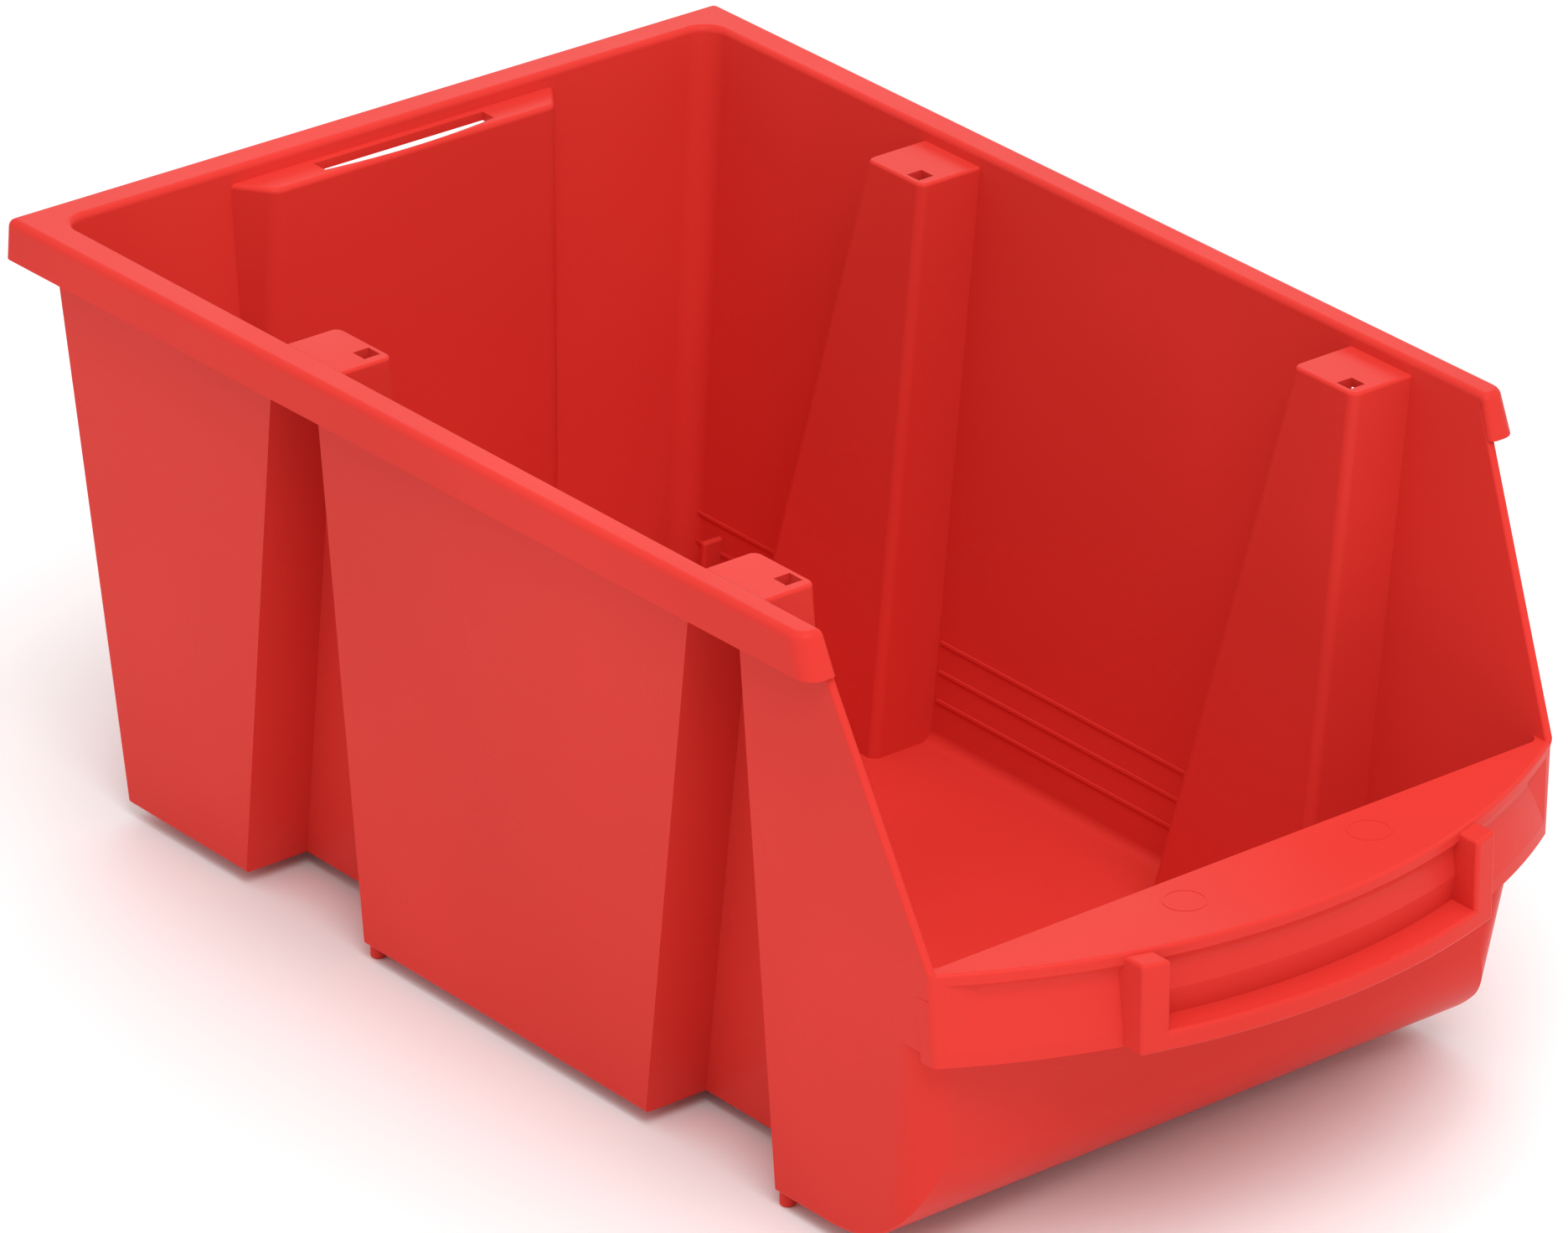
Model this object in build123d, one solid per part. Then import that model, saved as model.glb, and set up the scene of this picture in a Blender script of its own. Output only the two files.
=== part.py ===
from build123d import *
import os

os.makedirs("parts", exist_ok=True)

# Stackable open-fronted storage bin, moulded in one shot of polypropylene.
# +Z up, the open front faces -Y, origin at the bottom centre of the whole bin.
# Outlines are written as (d, h): d is the distance forward from the rear face
# of the rim, and h is the height above the underside of the base.

# ---- driving dimensions, mm
bow_depth = 345.0
holder_stand_off = 5.8
overall_length = bow_depth + holder_stand_off
rim_height = 153.0
peg_length = 4.0
wall = 2.2
floor_thickness = 2.4

# outer half width of the body = base_half_width + side_lean * h - side_taper * d
base_half_width = 84.7
side_lean = 0.086
side_taper = 0.003
body_edge_radius = 1.0
front_corner_radius = 9.0
inside_corner_radius = 6.0
inside_edge_radius = 3.0
slope_edge_radius = 0.7

# rim: flat flange with a skirt turned down all round and closed front ends
rim_half_width = 105.0
rim_taper = 0.0119
flange_thickness = 2.2
skirt_height = 10.0
skirt_flare = 0.045
skirt_thickness = 2.0
rim_end_depth = 288.8
rim_end_lean = 0.37
rim_top_radius = 2.0
rim_inside_radius = 1.6
rim_rear_corner_radius = 2.0
rim_end_corner_radius = 4.5

# rear wall
rear_top_depth = 7.6
rear_base_depth = 13.2

# front wall, the large radius under it, and the sloping cut of the sides
front_base_depth = 306.8
front_lean = 0.155
front_scoop_radius = 34.0
side_cut_depth = 286.4
scoop_start_depth = 266.0

# front shelf: flat bow-fronted lip with a skirt under it, wrapped round the corners
shelf_height = 80.6
bow_radius = 169.0
band_bottom = 58.0
band_thickness = 3.6
band_side_depth = 313.5
band_side_lean = 0.06
band_side_inset = 0.1
band_side_top = 74.0
band_corner_radius = 2.2
lip_edge_radius = 0.9
cove_depth = 1.6
cove_top = 77.9
cove_bottom = 61.5
cove_half_width = 79.5
cove_ramp = (11.0, -3.6)
mark_positions = ((-24.7, 326.5), (28.9, 326.5))
mark_radius = 5.1
mark_height = 0.1

# label holder: raised frame on the skirt, open at the top
holder_half_width = 51.0
holder_post_width = 6.8
holder_rail_height = 4.8
holder_drop = 0.7
holder_edge_radius = 0.9

# stacking columns: two in each side, hollow, open outwards and downwards
column_top = 149.6
column_reach = 20.0
column_pitch = 151.5
column_rear_base = 58.7
column_rear_lean = 0.225
column_front_base = 111.4
column_front_lean = 0.012
hollow_front_base = 107.2
hollow_front_lean = 0.019
column_edge_radius = 2.4
column_top_radius = 0.8

# square sockets in the column tops, and the pegs that drop into them
socket_x = 81.0
socket_depth = 108.0
socket_size = 4.5
peg_radius = 1.9

# rear hanging pocket, with a slot through its top
pocket_half_width = 41.0
pocket_side_flare = 0.7
pocket_top = 149.0
pocket_front_depth = 19.5
pocket_front_lean = 0.045
pocket_corner_radius = 4.5
pocket_top_radius = 1.2
slot_half_length = 25.0
slot_rear_depth = 12.0
slot_end_depth = 16.6
slot_middle_depth = 18.4

# small moulded details inside the sides
level_line_heights = (13.0, 20.5, 28.0)
level_line_size = 0.4
corner_rib_depth = 28.5
corner_rib_reach = 5.4
corner_rib_height = 25.0
corner_rib_thickness = 2.0
corner_rib_edge_radius = 0.8


def y_at(d):
    return overall_length / 2 - d


def z_at(h):
    return peg_length + h


def half_width(d, h):
    return base_half_width + side_lean * h - side_taper * d


def skirt_half_width(d, h):
    return rim_half_width - rim_taper * d + skirt_flare * (rim_height - h)


def between(width_at, offset):
    """Space between two flat leaning sides, moved in by offset on each side."""
    space = Pos(0, 0, z_at(80)) * Box(300, 900, 300)
    for side in (-1, 1):
        corner = Vector(side * (width_at(0, 0) - offset), y_at(0), z_at(0))
        forward = Vector(side * (width_at(300, 0) - offset), y_at(300), z_at(0)) - corner
        up = Vector(side * (width_at(0, 100) - offset), y_at(0), z_at(100)) - corner
        outward = forward.cross(up) if side * forward.cross(up).X > 0 else up.cross(forward)
        space = split(space, Plane(corner, z_dir=outward), keep=Keep.BOTTOM)
    return space


def between_sides(offset):
    return between(half_width, offset)


def band_half_width(d, h):
    """The ends of the band lean less than the sides, so that they stand out at the bottom."""
    return half_width(d, shelf_height) + band_side_lean * (h - shelf_height)


def side_face(outline):
    return make_face(Polyline(*[(y_at(d), z_at(h)) for d, h in outline], close=True))


def side_block(outline):
    return extrude(Plane.YZ * side_face(outline), 150, both=True)


def plan_block(outline, low, high):
    face = make_face(Polyline(*[(x, y_at(d)) for x, d in outline], close=True))
    return extrude(Plane.XY.offset(z_at(low)) * face, high - low)


def slab(low, high):
    return Pos(0, 0, z_at((low + high) / 2)) * Box(400, 900, high - low)


def depth_band(near, far):
    return Pos(0, y_at((near + far) / 2), z_at(80)) * Box(400, far - near, 400)


def rounded(solid, radius, wanted):
    return fillet(solid.edges().filter_by(wanted), radius)


def body_block(outline, scoop_depth, scoop_height, scoop_radius, offset):
    """Side outline with its lower front corner rounded, cut by the leaning sides."""
    face = side_face(outline)
    corner = face.vertices().sort_by_distance((y_at(scoop_depth), z_at(scoop_height), 0))[0]
    return extrude(Plane.YZ * fillet(corner, scoop_radius), 150, both=True) & between_sides(offset)


# ---- outer block and cavity
front_top_depth = front_base_depth + front_lean * shelf_height
outer = body_block(
    [(rear_base_depth, 0), (front_base_depth, 0), (front_top_depth, shelf_height),
     (side_cut_depth, rim_height), (rear_top_depth, rim_height)],
    front_base_depth, 0, front_scoop_radius, 0)
inner_front_base = front_base_depth - wall + front_lean * floor_thickness
cavity = body_block(
    [(rear_base_depth + wall, floor_thickness), (inner_front_base, floor_thickness),
     (front_top_depth - wall, shelf_height), (420, shelf_height), (420, 180),
     (rear_top_depth + wall - 1, 180)],
    inner_front_base, floor_thickness, front_scoop_radius - wall, wall)


def body_edge(edge):
    middle = edge.center()
    on_side = abs(middle.X) > 60 and middle.Z < z_at(shelf_height - 2)
    at_base = middle.Z < z_at(floor_thickness + 0.5) and middle.Y > y_at(265)
    at_rear = abs(middle.X) > 60 and middle.Y > y_at(20)
    return (on_side and edge.length < 290) or at_base or at_rear


def rear_corner(edge):
    middle = edge.center()
    return abs(middle.X) > 60 and middle.Y > y_at(20) and edge.length > 50 and edge.length < 200


# below the front band the upright corners are much rounder. A block with a deeper
# base and a larger radius trims them, so that the rounding fades out in the scoop.
deep_base = 10.0
corner_trim = body_block(
    [(rear_base_depth - 20, -deep_base), (front_base_depth - front_lean * deep_base, -deep_base),
     (front_top_depth, shelf_height), (side_cut_depth, rim_height + 5),
     (rear_top_depth - 20, rim_height + 5)],
    front_base_depth, -deep_base, front_scoop_radius - deep_base, 0)
corner_trim = rounded(corner_trim, front_corner_radius, body_edge)
outer = rounded(outer, body_edge_radius, body_edge)
trim_height = band_bottom + 2
outer = (outer & slab(trim_height, 200)) + (outer & corner_trim & slab(-1, trim_height))
cavity = rounded(cavity, inside_corner_radius, rear_corner)
cavity = rounded(cavity, inside_edge_radius, lambda edge: body_edge(edge) and not rear_corner(edge))
shell = outer - cavity


def slope_edge(edge):
    middle = edge.center()
    return y_at(310) < middle.Y < y_at(290) and middle.Z > z_at(100) and edge.length > 60


shell = rounded(shell, slope_edge_radius, slope_edge)


# ---- stacking columns, worked out at the rear pair and repeated forward
def column_outline(rear_shift, front_base, slope, top):
    low = -6.0
    rear = column_rear_base + rear_shift
    return [(rear + column_rear_lean * low, low), (front_base + slope * low, low),
            (front_base + slope * top, top), (rear + column_rear_lean * top, top)]


def inner_column_edge(edge):
    middle = edge.center()
    return abs(middle.X) < 80 and edge.length > 100


def column_top_edge(edge):
    middle = edge.center()
    return middle.Z > z_at(column_top - 0.01) and abs(middle.X) < 145


skin = side_block(column_outline(0, column_front_base, column_front_lean, column_top))
skin = rounded(skin - between_sides(column_reach), column_edge_radius, inner_column_edge)
skin = rounded(skin, column_top_radius, column_top_edge)
hollow = side_block(column_outline(
    wall, hollow_front_base, hollow_front_lean, column_top - wall)) - between_sides(column_reach - wall)
sockets = [Pos(side * socket_x, y_at(socket_depth), z_at(column_top)) * Box(socket_size, socket_size, 9)
           for side in (-1, 1)]
column_blocks, columns = [], []
for step in (0, column_pitch):
    shift = Pos(0, -step, 0)
    block = (shift * skin) & outer
    column_blocks.append(block)
    columns.append(block - shift * hollow - [shift * socket for socket in sockets])

# ---- body split into floor, walls and side panels
panel_lip = wall + inside_corner_radius + 0.2
tray_height = floor_thickness + inside_edge_radius + 0.2
core = between_sides(panel_lip)
floor_region = slab(-2, tray_height) & depth_band(-10, scoop_start_depth)
below_rim = shell & slab(-2, column_top)
base_floor = (below_rim & floor_region) - column_blocks
front_wall = below_rim & core & depth_band(scoop_start_depth, 420)
rear_plate = (below_rim & core & depth_band(-10, 30)) - floor_region
side_panels = below_rim - core - floor_region - column_blocks

# fine raised level lines along the inside of the side panels
line_shell = between_sides(wall - 0.2) - between_sides(wall + level_line_size)
panel_gaps = depth_band(column_front_base + 1.5, column_rear_base + column_pitch + 2)
for height in level_line_heights:
    line = line_shell & slab(height, height + 2 * level_line_size)
    side_panels += line & panel_gaps
    if height > level_line_heights[0]:
        side_panels += line & depth_band(16, column_rear_base)

corner_ribs = (between_sides(wall) - between_sides(wall + corner_rib_reach)) & slab(0, corner_rib_height)
corner_ribs &= depth_band(corner_rib_depth - corner_rib_thickness, corner_rib_depth)


def rib_edge(edge):
    middle = edge.center()
    inside = abs(middle.X) < half_width(corner_rib_depth, middle.Z - peg_length) - wall - 2
    return inside and middle.Z > z_at(5)


corner_ribs = rounded(corner_ribs, corner_rib_edge_radius, rib_edge)
corner_ribs -= shell
corner_ribs -= side_panels

# ---- rear hanging pocket, pushed forward out of the rear wall
pocket_outline = [(-2, pocket_top), (pocket_front_depth, pocket_top),
                  (pocket_front_depth - pocket_front_lean * (pocket_top - 2), 2), (-2, 2)]


def pocket_plan(offset):
    """Plan of the pocket, wider towards the rear, moved in by offset on each side."""
    front = pocket_half_width - offset
    rear = front + pocket_side_flare * (pocket_front_depth + 5)
    return plan_block([(-rear, -5), (rear, -5), (front, pocket_front_depth), (front, 40),
                       (-front, 40), (-front, pocket_front_depth)], 0, 160)


def pocket_upright_edge(edge):
    middle = edge.center()
    return middle.Y < y_at(pocket_front_depth - 8) and edge.length > 100 and abs(middle.X) > 30


def pocket_top_edge(edge):
    return edge.center().Z > z_at(pocket_top - 0.01) and edge.center().Y < y_at(0)


pocket_block = side_block(pocket_outline) & pocket_plan(0)
pocket_block = rounded(pocket_block, pocket_corner_radius, pocket_upright_edge)
pocket_block = rounded(pocket_block, pocket_top_radius, pocket_top_edge)
pocket_hollow = side_block([(d - wall, h - wall) for d, h in pocket_outline]) & pocket_plan(wall)
slot_outline = make_face(
    Polyline((-slot_half_length, y_at(slot_end_depth)), (-slot_half_length, y_at(slot_rear_depth)),
             (slot_half_length, y_at(slot_rear_depth)), (slot_half_length, y_at(slot_end_depth)))
    + ThreePointArc((slot_half_length, y_at(slot_end_depth)), (0, y_at(slot_middle_depth)),
                    (-slot_half_length, y_at(slot_end_depth))))
slot = extrude(Plane.XY.offset(z_at(pocket_top - wall - 0.6)) * slot_outline, 6)
pocket_solid = (pocket_block & outer) - floor_region
hanging_pocket = (pocket_solid & (cavity + rear_plate)) - pocket_hollow - slot
rear_wall = rear_plate - pocket_solid

# ---- rim
rim_outline = [(skirt_flare * skirt_height, rim_height), (0, rim_height - skirt_height),
               (rim_end_depth + rim_end_lean * skirt_height, rim_height - skirt_height),
               (rim_end_depth, rim_height)]
rim_block = side_block(rim_outline) & between(skirt_half_width, 0)


def rim_rear_corner(edge):
    return abs(edge.center().X) > 90 and edge.length < 15 and edge.center().Y > 0


def rim_end_corner(edge):
    return abs(edge.center().X) > 90 and edge.length < 15 and edge.center().Y < 0


def rim_top_edge(edge):
    return edge.center().Z > z_at(rim_height - 0.01)


rim_block = rounded(rim_block, rim_rear_corner_radius, rim_rear_corner)
rim_block = rounded(rim_block, rim_end_corner_radius, rim_end_corner)
rim_block = rounded(rim_block, rim_top_radius, rim_top_edge)
skirt_bottom = rim_height - skirt_height
under_flange = rim_height - flange_thickness
rim_hollow = side_block([
    (skirt_thickness + 0.4, under_flange), (skirt_thickness, skirt_bottom - 1),
    (rim_end_depth + rim_end_lean * (skirt_height + 1) - skirt_thickness, skirt_bottom - 1),
    (rim_end_depth + rim_end_lean * flange_thickness - skirt_thickness, under_flange)])
rim_hollow &= between(skirt_half_width, skirt_thickness)
rim = rim_block - (rim_hollow - outer) - cavity - (outer & slab(-2, column_top))


def rim_inside_edge(edge):
    middle = edge.center()
    return rim_top_edge(edge) and edge.length > 50 and abs(middle.X) < 97 and middle.Y < y_at(5)


rim = rounded(rim, rim_inside_radius, rim_inside_edge)
rear_part = plan_block([(-150, -45), (150, -45), (60, 45), (-60, 45)], 130, 170)
rear_rim = rim & rear_part
side_rims = rim - rear_part

# ---- front shelf, its bowed skirt and the label holder, turned about the bow's centre
bow_centre = Pos(0, y_at(bow_depth - bow_radius), 0)


def bow_ring(inner_radius, outer_radius, low, high):
    ring = Cylinder(outer_radius, high - low) - Cylinder(inner_radius, high - low)
    return bow_centre * Pos(0, 0, z_at((low + high) / 2)) * ring


lip = bow_centre * Pos(0, 0, z_at((band_bottom + shelf_height) / 2)) * Cylinder(
    bow_radius, shelf_height - band_bottom)
lip &= depth_band(band_side_depth, 420) & between(band_half_width, band_side_inset)


def lip_corner(edge):
    middle = edge.center()
    return abs(middle.X) > 89 and middle.Y < y_at(band_side_depth + 2) and abs(middle.Z - z_at(69)) < 5


def lip_front_top(edge):
    middle = edge.center()
    return middle.Z > z_at(shelf_height - 0.01) and middle.Y < y_at(band_side_depth + 1)


lip = rounded(lip, band_corner_radius, lip_corner)
lip = rounded(lip, lip_edge_radius, lip_front_top)
cove_start = (bow_radius, z_at(cove_top))
cove_middle = (bow_radius - 0.75 * cove_depth, z_at(cove_top - 1.4))
cove_deepest = (bow_radius - cove_depth, z_at(cove_top - 4))
cove_end = (bow_radius, z_at(cove_bottom))
cove_outline = make_face(
    ThreePointArc(cove_start, cove_middle, cove_deepest)
    + Polyline(cove_deepest, cove_end, (bow_radius + 3, z_at(cove_bottom)),
               (bow_radius + 3, z_at(cove_top)), cove_start))
cove = bow_centre * revolve(Plane.XZ * cove_outline, Axis.Z)

# the cove runs out to nothing at both ends, up a shallow ramp that starts at its full depth
ramp_x = cove_half_width
ramp_d = bow_depth - bow_radius + ((bow_radius - cove_depth) ** 2 - ramp_x ** 2) ** 0.5
end_x = ramp_x + cove_ramp[0]
end_d = ramp_d + cove_ramp[1]
cove &= plan_block([(-end_x, 420), (-end_x, end_d), (-ramp_x, ramp_d), (1 - ramp_x, 300),
                    (ramp_x - 1, 300), (ramp_x, ramp_d), (end_x, end_d), (end_x, 420)], 50, 90)
# above band_side_top the ends of the band stay just inside the faces of the sides
lip -= slab(band_side_top, shelf_height + 1) - between_sides(0.15)
lip = lip - cove - outer
for x, d in mark_positions:
    mark = Cylinder(mark_radius, 2 * mark_height) - Cylinder(mark_radius - 0.5, 2 * mark_height)
    lip += Pos(x, y_at(d), z_at(shelf_height)) * mark
under_shelf = shelf_height - wall
front_shelf = lip & slab(under_shelf, shelf_height + 1)
band = (lip & slab(band_bottom - 1, under_shelf)) & bow_ring(
    bow_radius - band_thickness, bow_radius + 1, band_bottom - 1, shelf_height)

holder_width = Box(2 * holder_half_width, 600, 400)
window_width = Box(2 * (holder_half_width - holder_post_width), 600, 400)
rail_top = band_bottom + holder_rail_height
window_slope = bow_centre * revolve(Plane.XZ * make_face(Polyline(
    (bow_radius + 8, z_at(rail_top)), (bow_radius - 1.8, z_at(rail_top)),
    (bow_radius + 0.2, z_at(under_shelf)), (bow_radius + 8, z_at(under_shelf)), close=True)), Axis.Z)
window = window_slope & window_width & depth_band(200, 420)
front_band = band - window
holder_top = shelf_height - holder_drop
holder_ring = bow_ring(bow_radius - 2, bow_radius + holder_stand_off, band_bottom, holder_top)
label_holder = holder_ring & holder_width & depth_band(200, 420)
label_holder -= slab(rail_top, 200) & window_width


def holder_edge(edge):
    """Edges of the frame that stand clear of the band, apart from the two inside corners."""
    middle = edge.center()
    reach = (middle.X ** 2 + (y_at(bow_depth - bow_radius) - middle.Y) ** 2) ** 0.5
    inside_corner = abs(middle.Z - z_at(rail_top)) < 0.1 and abs(middle.X) > 30
    return reach > bow_radius + 0.7 and not inside_corner


label_holder = rounded(label_holder, holder_edge_radius, holder_edge)
label_holder = label_holder - front_band - front_shelf

# ---- pegs standing down from the columns' front walls, in line with the sockets
peg = Pos(0, 0, (peg_length + 6) / 2) * Cylinder(peg_radius, peg_length + 6)
peg = fillet(peg.edges().sort_by(Axis.Z)[0], 0.7)
pegs = []
for side in (-1, 1):
    for step in (0, column_pitch):
        pegs.append(Pos(side * socket_x, y_at(socket_depth + step), 0) * peg - outer)

# ---- one STEP file per node
panels = side_panels.solids()
left_panels = sorted([p for p in panels if p.center().X < 0], key=lambda p: -p.center().Y)
right_panels = sorted([p for p in panels if p.center().X > 0], key=lambda p: -p.center().Y)
nodes = {
    "base_floor": base_floor.solids(),
    "front_wall": front_wall.solids(),
    "rear_wall": rear_wall.solids(),
    "hanging_pocket": hanging_pocket.solids(),
    "rear_rim": rear_rim.solids(),
    "front_shelf": front_shelf.solids(),
    "front_band": front_band.solids(),
    "label_holder": label_holder.solids(),
    "corner_ribs": [rib for rib in corner_ribs.solids() if rib.volume > 50],
    "stacking_pegs": [solid for p in pegs for solid in p.solids()],
}
for place, left, right in zip(("rear", "middle", "front"), left_panels, right_panels):
    nodes["left_" + place + "_panel"] = [left]
    nodes["right_" + place + "_panel"] = [right]
for place, pair in zip(("rear", "front"), columns):
    left, right = sorted(pair.solids(), key=lambda c: c.center().X)
    nodes["left_" + place + "_column"] = [left]
    nodes["right_" + place + "_column"] = [right]
left, right = sorted(side_rims.solids(), key=lambda r: r.center().X)
nodes["left_rim"] = [left]
nodes["right_rim"] = [right]

for name, solids in nodes.items():
    part = solids[0] if len(solids) == 1 else Compound(solids)
    export_step(part, "parts/" + name + ".step")
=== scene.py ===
import bpy
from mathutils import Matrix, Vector


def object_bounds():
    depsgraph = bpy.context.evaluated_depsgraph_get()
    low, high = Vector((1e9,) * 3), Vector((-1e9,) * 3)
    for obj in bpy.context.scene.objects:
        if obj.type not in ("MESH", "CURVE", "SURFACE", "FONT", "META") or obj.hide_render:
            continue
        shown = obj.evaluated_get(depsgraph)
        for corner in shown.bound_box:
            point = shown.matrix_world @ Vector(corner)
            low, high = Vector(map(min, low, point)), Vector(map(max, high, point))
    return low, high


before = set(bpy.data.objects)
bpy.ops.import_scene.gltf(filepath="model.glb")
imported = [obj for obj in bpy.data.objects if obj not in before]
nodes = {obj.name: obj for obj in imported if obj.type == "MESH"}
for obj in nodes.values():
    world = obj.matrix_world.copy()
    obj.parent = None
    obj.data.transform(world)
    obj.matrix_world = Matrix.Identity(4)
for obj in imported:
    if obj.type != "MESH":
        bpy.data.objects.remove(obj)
cad_box = [list(corner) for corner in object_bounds()]

floor_height = cad_box[0][2]

# ---- look of the plastic: linear colours, and noise scales in waves per metre
DEEP_RED = (0.610, 0.0350, 0.0265, 1)
BRIGHT_RED = (0.740, 0.0450, 0.0350, 1)
CLOUD_SCALE = 9.0
PATCH_SCALE = 26.0
GRAIN_SCALE = 1500.0
SINK_SCALE = 16.0
SMOOTHEST = 0.23
ROUGHEST = 0.39

# ---- studio, in metres and watts
FLOOR_SIZE = 14
LIGHT_TARGET = Vector((0, 0, 0.06))
CAMERA_PLACE = Vector((-1.2940, -1.5886, 1.0790))
CAMERA_AIM = Vector((-0.0042, 0.0126, 0.0850))
CAMERA_LENS = 228.9


# ---- material helpers


def add_node(tree, kind, **inputs):
    node = tree.nodes.new(kind)
    for socket, value in inputs.items():
        node.inputs[socket].default_value = value
    return node


def noise(tree, position, scale, detail, roughness=0.55):
    node = add_node(tree, "ShaderNodeTexNoise", Scale=scale, Detail=detail, Roughness=roughness)
    tree.links.new(position, node.inputs["Vector"])
    return node.outputs["Fac"]


def spread(tree, value, to_low, to_high):
    """Stretch the middle of a noise, which seldom leaves 0.1 to 0.9, over a new range."""
    node = tree.nodes.new("ShaderNodeMapRange")
    node.inputs["From Min"].default_value = 0.1
    node.inputs["From Max"].default_value = 0.9
    node.inputs["To Min"].default_value = to_low
    node.inputs["To Max"].default_value = to_high
    tree.links.new(value, node.inputs["Value"])
    return node.outputs["Result"]


def mix_colour(tree, factor, first, second):
    node = tree.nodes.new("ShaderNodeMix")
    node.data_type = "RGBA"
    tree.links.new(factor, node.inputs["Factor"])
    node.inputs[6].default_value = first
    node.inputs[7].default_value = second
    return node.outputs[2]


def red_plastic(name):
    """Satin injection-moulded polypropylene: cloudy pigment, fine mould grain and shallow sink marks."""
    material = bpy.data.materials.new(name)
    material.use_nodes = True
    tree = material.node_tree
    shader = tree.nodes["Principled BSDF"]
    position = tree.nodes.new("ShaderNodeTexCoord").outputs["Object"]

    cloud = spread(tree, noise(tree, position, CLOUD_SCALE, 2.0), 0.0, 1.0)
    tree.links.new(mix_colour(tree, cloud, DEEP_RED, BRIGHT_RED), shader.inputs["Base Color"])

    patch = noise(tree, position, PATCH_SCALE, 1.5, 0.5)
    tree.links.new(spread(tree, patch, SMOOTHEST, ROUGHEST), shader.inputs["Roughness"])
    shader.inputs["IOR"].default_value = 1.49
    shader.inputs["Specular IOR Level"].default_value = 0.05

    sink = add_node(tree, "ShaderNodeBump", Strength=0.10, Distance=0.0007)
    grain = add_node(tree, "ShaderNodeBump", Strength=0.10, Distance=0.00006)
    tree.links.new(noise(tree, position, SINK_SCALE, 1.0), sink.inputs["Height"])
    tree.links.new(noise(tree, position, GRAIN_SCALE, 2.0), grain.inputs["Height"])
    tree.links.new(sink.outputs["Normal"], grain.inputs["Normal"])
    tree.links.new(grain.outputs["Normal"], shader.inputs["Normal"])
    return material


# the bin is one moulding, so all of its regions share one plastic
plastic = red_plastic("red_polypropylene")
for item in nodes.values():
    item.data.materials.clear()
    item.data.materials.append(plastic)

# ---- pale floor and plain world
bpy.ops.mesh.primitive_plane_add(size=FLOOR_SIZE, location=(0, 0, floor_height))
floor = bpy.context.object
floor.name = "floor"
paper = bpy.data.materials.new("pale_floor")
paper.use_nodes = True
paper_shader = paper.node_tree.nodes["Principled BSDF"]
paper_shader.inputs["Base Color"].default_value = (0.96, 0.96, 0.96, 1)
paper_shader.inputs["Roughness"].default_value = 0.8
floor.data.materials.append(paper)

world = bpy.data.worlds.new("studio")
world.use_nodes = True
background = world.node_tree.nodes["Background"]
background.inputs["Color"].default_value = (1, 1, 1, 1)
background.inputs["Strength"].default_value = 0.75
bpy.context.scene.world = world


# ---- soft lights


def turned_to(place, target):
    """Rotation that points a light or a camera at the target."""
    return (target - place).to_track_quat("-Z", "Y")


def soft_light(name, place, size, power):
    data = bpy.data.lights.new(name, "AREA")
    data.shape = "RECTANGLE"
    data.size, data.size_y = size
    data.energy = power
    light = bpy.data.objects.new(name, data)
    bpy.context.scene.collection.objects.link(light)
    light.location = place
    light.rotation_mode = "QUATERNION"
    light.rotation_quaternion = turned_to(Vector(place), LIGHT_TARGET)


soft_light("key", (-0.50, -1.20, 2.00), (1.3, 1.3), 27)
soft_light("rear", (1.35, 1.68, 1.1), (1.3, 0.8), 4)
soft_light("overhead", (0.05, -0.10, 1.6), (0.8, 0.8), 4.5)

# ---- camera
camera_data = bpy.data.cameras.new("camera")
camera_data.sensor_width = 36.0
camera_data.lens = CAMERA_LENS
camera_data.clip_end = 50
camera = bpy.data.objects.new("camera", camera_data)
bpy.context.scene.collection.objects.link(camera)
camera.location = CAMERA_PLACE
camera.rotation_mode = "QUATERNION"
camera.rotation_quaternion = turned_to(CAMERA_PLACE, CAMERA_AIM)
bpy.context.scene.camera = camera

bpy.context.scene.view_settings.view_transform = "Standard"
